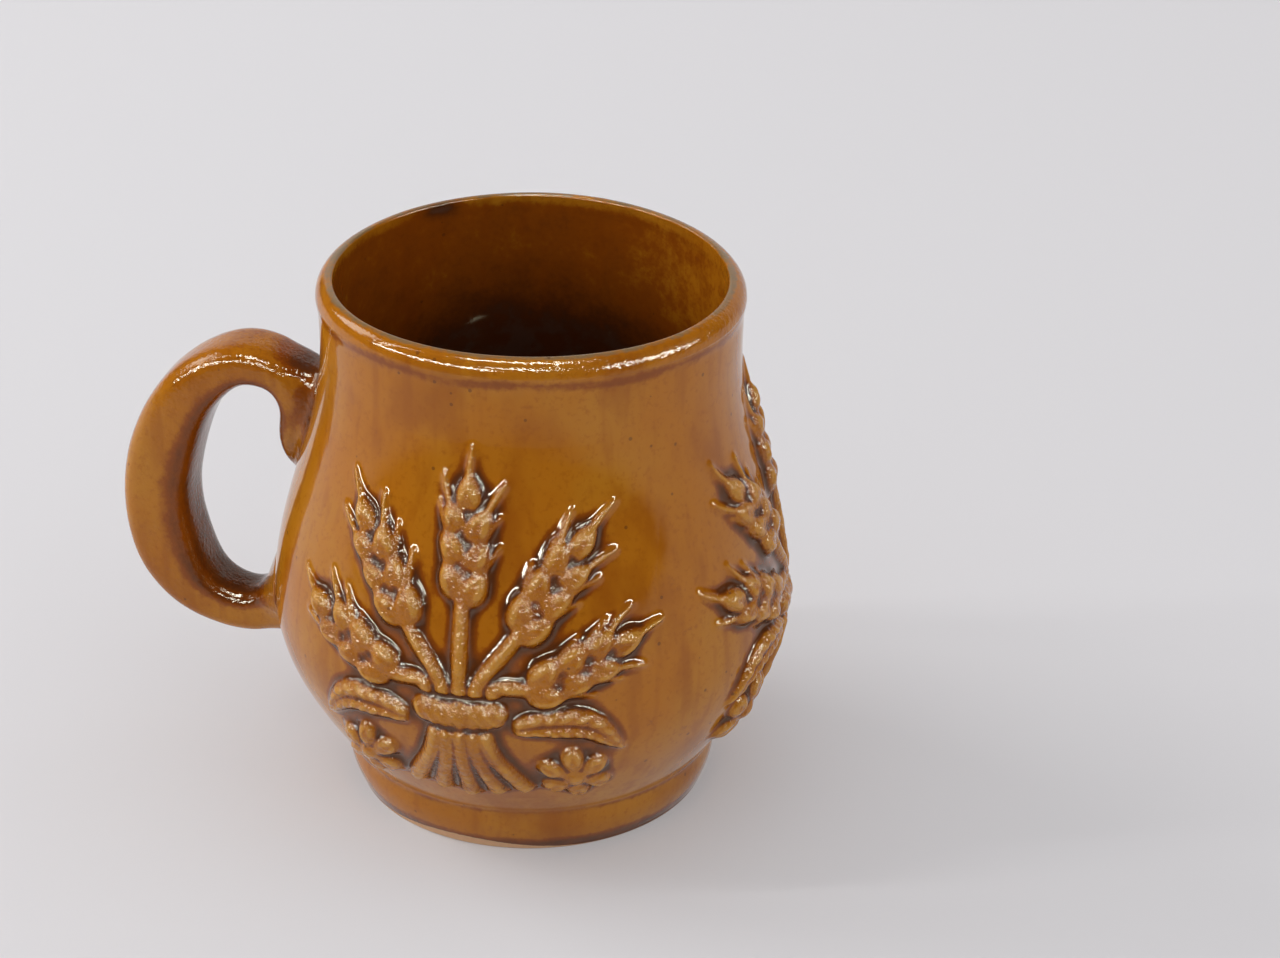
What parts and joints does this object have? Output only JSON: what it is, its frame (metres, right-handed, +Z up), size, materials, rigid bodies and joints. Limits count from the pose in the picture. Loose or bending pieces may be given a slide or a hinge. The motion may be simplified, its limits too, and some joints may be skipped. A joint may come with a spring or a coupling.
{
  "type": "beer mug",
  "caption": "Bulbous glazed stoneware beer mug with a pulled strap handle, a flat foot and applied barley-sheaf reliefs round the belly.",
  "frame": {"origin": "centre of the flat foot, on the table", "axes": "+Z up along the mug's turning axis, -X towards the handle, -Y towards the middle of the front relief"},
  "size_m": [0.1852, 0.1429, 0.1469],
  "materials": {
    "body_glaze": "thick honey-brown gloss glaze over stoneware, with fine dark specks",
    "handle_glaze": "the same gloss glaze, darker where it pooled along the strap",
    "relief_glaze": "the same gloss glaze, thin and orange on the high points, dark in the hollows"
  },
  "bodies": {
    "root": {"body": "body_glaze", "handle": "handle_glaze", "front_ear_outer_left": "relief_glaze", "front_ear_inner_left": "relief_glaze", "front_ear_middle": "relief_glaze", "front_ear_inner_right": "relief_glaze", "front_ear_outer_right": "relief_glaze", "front_stalk_ends": "relief_glaze", "front_tie": "relief_glaze", "front_blade_left": "relief_glaze", "front_blade_right": "relief_glaze", "front_rosette_left": "relief_glaze", "front_rosette_right": "relief_glaze", "right_ear_outer_left": "relief_glaze", "right_ear_inner_left": "relief_glaze", "right_ear_middle": "relief_glaze", "right_ear_inner_right": "relief_glaze", "right_ear_outer_right": "relief_glaze", "right_stalk_ends": "relief_glaze", "right_tie": "relief_glaze", "right_blade_left": "relief_glaze", "right_blade_right": "relief_glaze", "right_rosette_left": "relief_glaze", "right_rosette_right": "relief_glaze", "back_ear_outer_left": "relief_glaze", "back_ear_inner_left": "relief_glaze", "back_ear_middle": "relief_glaze", "back_ear_inner_right": "relief_glaze", "back_ear_outer_right": "relief_glaze", "back_stalk_ends": "relief_glaze", "back_tie": "relief_glaze", "back_blade_left": "relief_glaze", "back_blade_right": "relief_glaze", "back_rosette_left": "relief_glaze", "back_rosette_right": "relief_glaze"}
  },
  "joints": []
}
